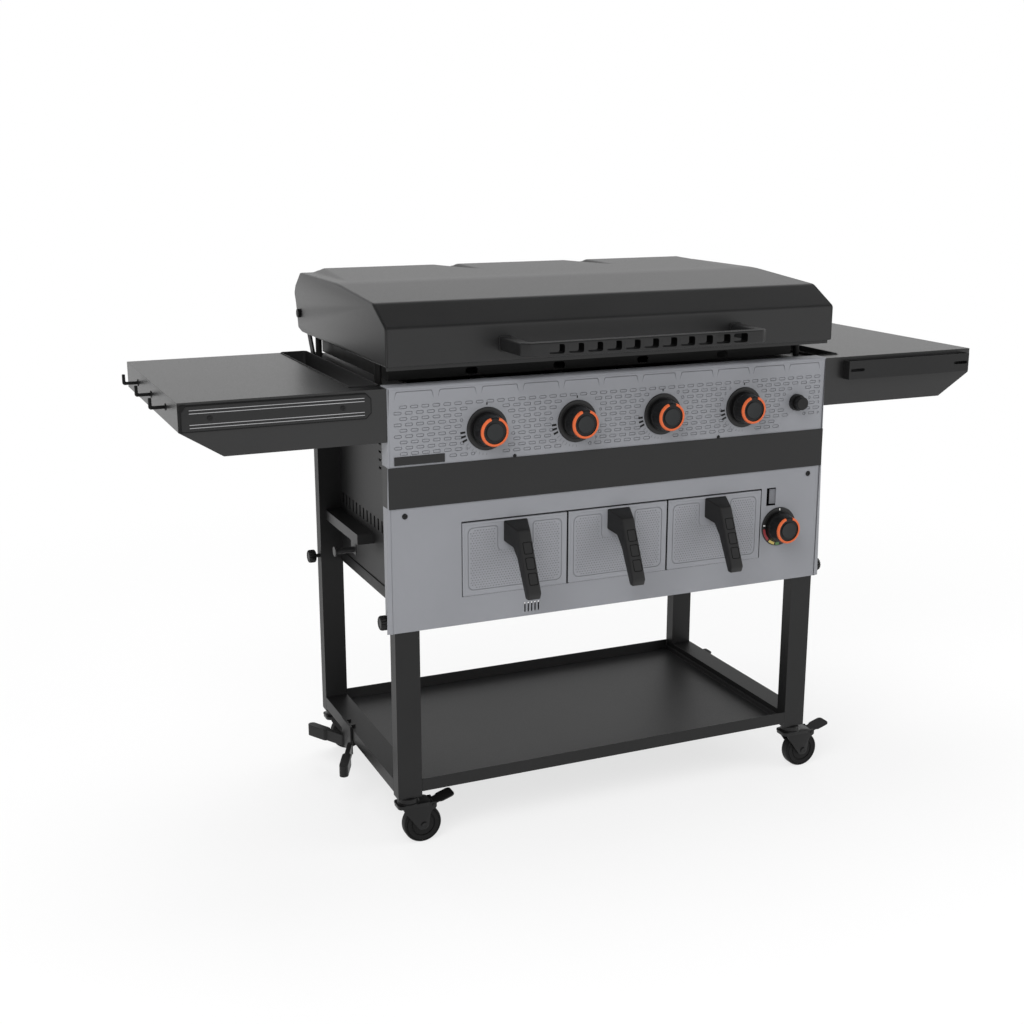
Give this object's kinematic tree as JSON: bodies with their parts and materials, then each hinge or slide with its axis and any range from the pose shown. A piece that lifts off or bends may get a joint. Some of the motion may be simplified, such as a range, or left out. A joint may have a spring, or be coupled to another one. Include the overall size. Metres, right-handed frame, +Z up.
{
  "type": "outdoor gas griddle station",
  "caption": "Hooded flat-top gas griddle with air-fryer drawers under it, side shelves, tool hooks, and a wheeled open cart with a bottom tray.",
  "frame": {"origin": "centre of the overall box on the floor", "axes": "+X along the front to the right as seen from the front, +Y from the front to the back, +Z up"},
  "size_m": [1.684, 0.767, 1.052],
  "materials": {
    "grey_panel": "satin grey powder coat with a pressed pattern",
    "drawer_steel": "satin grey dimpled front on a plain steel basket",
    "black_trim": "satin black",
    "black_frame": "fine-textured black powder coat",
    "charcoal_body": "fine-textured charcoal powder coat",
    "charcoal_shelf": "fine-textured charcoal powder coat",
    "charcoal_hood": "fine-textured charcoal powder coat",
    "bare_steel": "plain plated steel",
    "gas_steel": "plain pipe and valve bodies",
    "griddle_steel": "dark seasoned rolled steel",
    "black_plastic": "matt black moulding",
    "knob_plastic": "matt black moulding with an orange ring",
    "zinc_black": "black plated steel",
    "wheel_plastic": "hard black plastic"
  },
  "bodies": {
    "cart": {"front_panel": "grey_panel", "fryer_window": "grey_panel", "trim_band": "black_trim", "tool_strip": "black_trim", "front_legs": "black_frame", "rear_legs": "black_frame", "side_rails": "black_frame", "bottom_tray": "black_frame", "hinge_brackets": "black_frame", "cup_bracket": "black_frame", "tank_hanger": "black_frame", "side_wall_left": "charcoal_body", "side_wall_right": "charcoal_body", "rear_wall": "charcoal_body", "cabinet_floor": "charcoal_body", "shelf_left": "charcoal_shelf", "shelf_right": "charcoal_shelf", "flue_guards": "charcoal_shelf", "accessory_rail": "charcoal_shelf", "tool_hooks": "charcoal_shelf", "heat_shield": "bare_steel", "fryer_deck": "bare_steel", "burner_tubes": "bare_steel", "fryer_burner": "bare_steel", "gas_manifold": "gas_steel", "knob_bezels": "black_plastic", "igniter_housing": "black_plastic", "tank_brace": "black_plastic", "caster_stems": "zinc_black", "thumb_screws": "zinc_black", "screws": "zinc_black"},
    "hood": {"hood_shell": "charcoal_hood", "hood_ends": "charcoal_hood", "hood_handle": "black_plastic"},
    "griddle": {"griddle_plate": "griddle_steel"},
    "fryer_knob": {"fryer_knob": "knob_plastic"},
    "igniter_button": {"igniter_button": "black_plastic"},
    "grease_cup": {"grease_cup": "bare_steel"},
    "burner_knob_1": {"burner_knob_1": "knob_plastic"},
    "caster_1": {"caster_fork_1": "zinc_black"},
    "wheel_1": {"caster_wheel_1": "wheel_plastic"},
    "pedal_1": {"brake_pedal_1": "wheel_plastic"},
    "burner_knob_2": {"burner_knob_2": "knob_plastic"},
    "caster_2": {"caster_fork_2": "zinc_black"},
    "wheel_2": {"caster_wheel_2": "wheel_plastic"},
    "pedal_2": {"brake_pedal_2": "wheel_plastic"},
    "burner_knob_3": {"burner_knob_3": "knob_plastic"},
    "caster_3": {"caster_fork_3": "zinc_black"},
    "wheel_3": {"caster_wheel_3": "wheel_plastic"},
    "pedal_3": {"brake_pedal_3": "wheel_plastic"},
    "burner_knob_4": {"burner_knob_4": "knob_plastic"},
    "caster_4": {"caster_fork_4": "zinc_black"},
    "wheel_4": {"caster_wheel_4": "wheel_plastic"},
    "pedal_4": {"brake_pedal_4": "wheel_plastic"},
    "drawer_1": {"drawer_1": "drawer_steel", "drawer_handle_1": "black_plastic"},
    "drawer_2": {"drawer_2": "drawer_steel", "drawer_handle_2": "black_plastic"},
    "drawer_3": {"drawer_3": "drawer_steel", "drawer_handle_3": "black_plastic"}
  },
  "joints": [
    {"name": "hood_lift", "type": "hinge", "parent": "cart", "child": "hood", "pos_m": [0.0145, 0.2735, 0.96], "axis": [-1, 0, 0], "range_deg": [0, 95]},
    {"name": "griddle_lift", "type": "slide", "parent": "cart", "child": "griddle", "axis": [0, 0, 1], "range_m": [0, 0.05]},
    {"name": "fryer_knob_turn", "type": "hinge", "parent": "cart", "child": "fryer_knob", "pos_m": [0.3825, -0.2895, 0.546], "axis": [0, -1, 0], "range_deg": [0, 180]},
    {"name": "igniter_press", "type": "slide", "parent": "cart", "child": "igniter_button", "axis": [0, 1, 0], "range_m": [0, 0.004], "stiffness_N_per_m": 400},
    {"name": "grease_cup_pull", "type": "slide", "parent": "cart", "child": "grease_cup", "axis": [0, 1, 0], "range_m": [0, 0.115]},
    {"name": "burner_knob_1_turn", "type": "hinge", "parent": "cart", "child": "burner_knob_1", "pos_m": [-0.25865, -0.2895, 0.7985], "axis": [0, -1, 0], "range_deg": [0, 180]},
    {"name": "burner_knob_2_turn", "type": "hinge", "parent": "cart", "child": "burner_knob_2", "pos_m": [-0.07655, -0.2895, 0.7985], "axis": [0, -1, 0], "range_deg": [0, 180]},
    {"name": "burner_knob_3_turn", "type": "hinge", "parent": "cart", "child": "burner_knob_3", "pos_m": [0.10555, -0.2895, 0.7985], "axis": [0, -1, 0], "range_deg": [0, 180]},
    {"name": "burner_knob_4_turn", "type": "hinge", "parent": "cart", "child": "burner_knob_4", "pos_m": [0.28765, -0.2895, 0.7985], "axis": [0, -1, 0], "range_deg": [0, 180]},
    {"name": "drawer_1_pull", "type": "slide", "parent": "cart", "child": "drawer_1", "axis": [0, -1, 0], "range_m": [0, 0.28]},
    {"name": "drawer_2_pull", "type": "slide", "parent": "cart", "child": "drawer_2", "axis": [0, -1, 0], "range_m": [0, 0.28]},
    {"name": "drawer_3_pull", "type": "slide", "parent": "cart", "child": "drawer_3", "axis": [0, -1, 0], "range_m": [0, 0.28]},
    {"name": "caster_1_swivel", "type": "hinge", "parent": "cart", "child": "caster_1", "pos_m": [-0.4185, -0.2539, 0.09], "axis": [0, 0, 1], "continuous": true},
    {"name": "wheel_1_roll", "type": "hinge", "parent": "caster_1", "child": "wheel_1", "pos_m": [-0.3925, -0.2539, 0.0375], "axis": [0, 1, 0], "continuous": true},
    {"name": "pedal_1_press", "type": "hinge", "parent": "caster_1", "child": "pedal_1", "pos_m": [-0.3725, -0.2539, 0.076], "axis": [0, 1, 0], "range_deg": [0, 18]},
    {"name": "caster_2_swivel", "type": "hinge", "parent": "cart", "child": "caster_2", "pos_m": [0.4475, -0.2539, 0.09], "axis": [0, 0, 1], "continuous": true},
    {"name": "wheel_2_roll", "type": "hinge", "parent": "caster_2", "child": "wheel_2", "pos_m": [0.4735, -0.2539, 0.0375], "axis": [0, 1, 0], "continuous": true},
    {"name": "pedal_2_press", "type": "hinge", "parent": "caster_2", "child": "pedal_2", "pos_m": [0.4935, -0.2539, 0.076], "axis": [0, 1, 0], "range_deg": [0, 18]},
    {"name": "caster_3_swivel", "type": "hinge", "parent": "cart", "child": "caster_3", "pos_m": [-0.4185, 0.2235, 0.09], "axis": [0, 0, 1], "continuous": true},
    {"name": "wheel_3_roll", "type": "hinge", "parent": "caster_3", "child": "wheel_3", "pos_m": [-0.3925, 0.2235, 0.0375], "axis": [0, 1, 0], "continuous": true},
    {"name": "pedal_3_press", "type": "hinge", "parent": "caster_3", "child": "pedal_3", "pos_m": [-0.3725, 0.2235, 0.076], "axis": [0, 1, 0], "range_deg": [0, 18]},
    {"name": "caster_4_swivel", "type": "hinge", "parent": "cart", "child": "caster_4", "pos_m": [0.4475, 0.2235, 0.09], "axis": [0, 0, 1], "continuous": true},
    {"name": "wheel_4_roll", "type": "hinge", "parent": "caster_4", "child": "wheel_4", "pos_m": [0.4735, 0.2235, 0.0375], "axis": [0, 1, 0], "continuous": true},
    {"name": "pedal_4_press", "type": "hinge", "parent": "caster_4", "child": "pedal_4", "pos_m": [0.4935, 0.2235, 0.076], "axis": [0, 1, 0], "range_deg": [0, 18]}
  ]
}
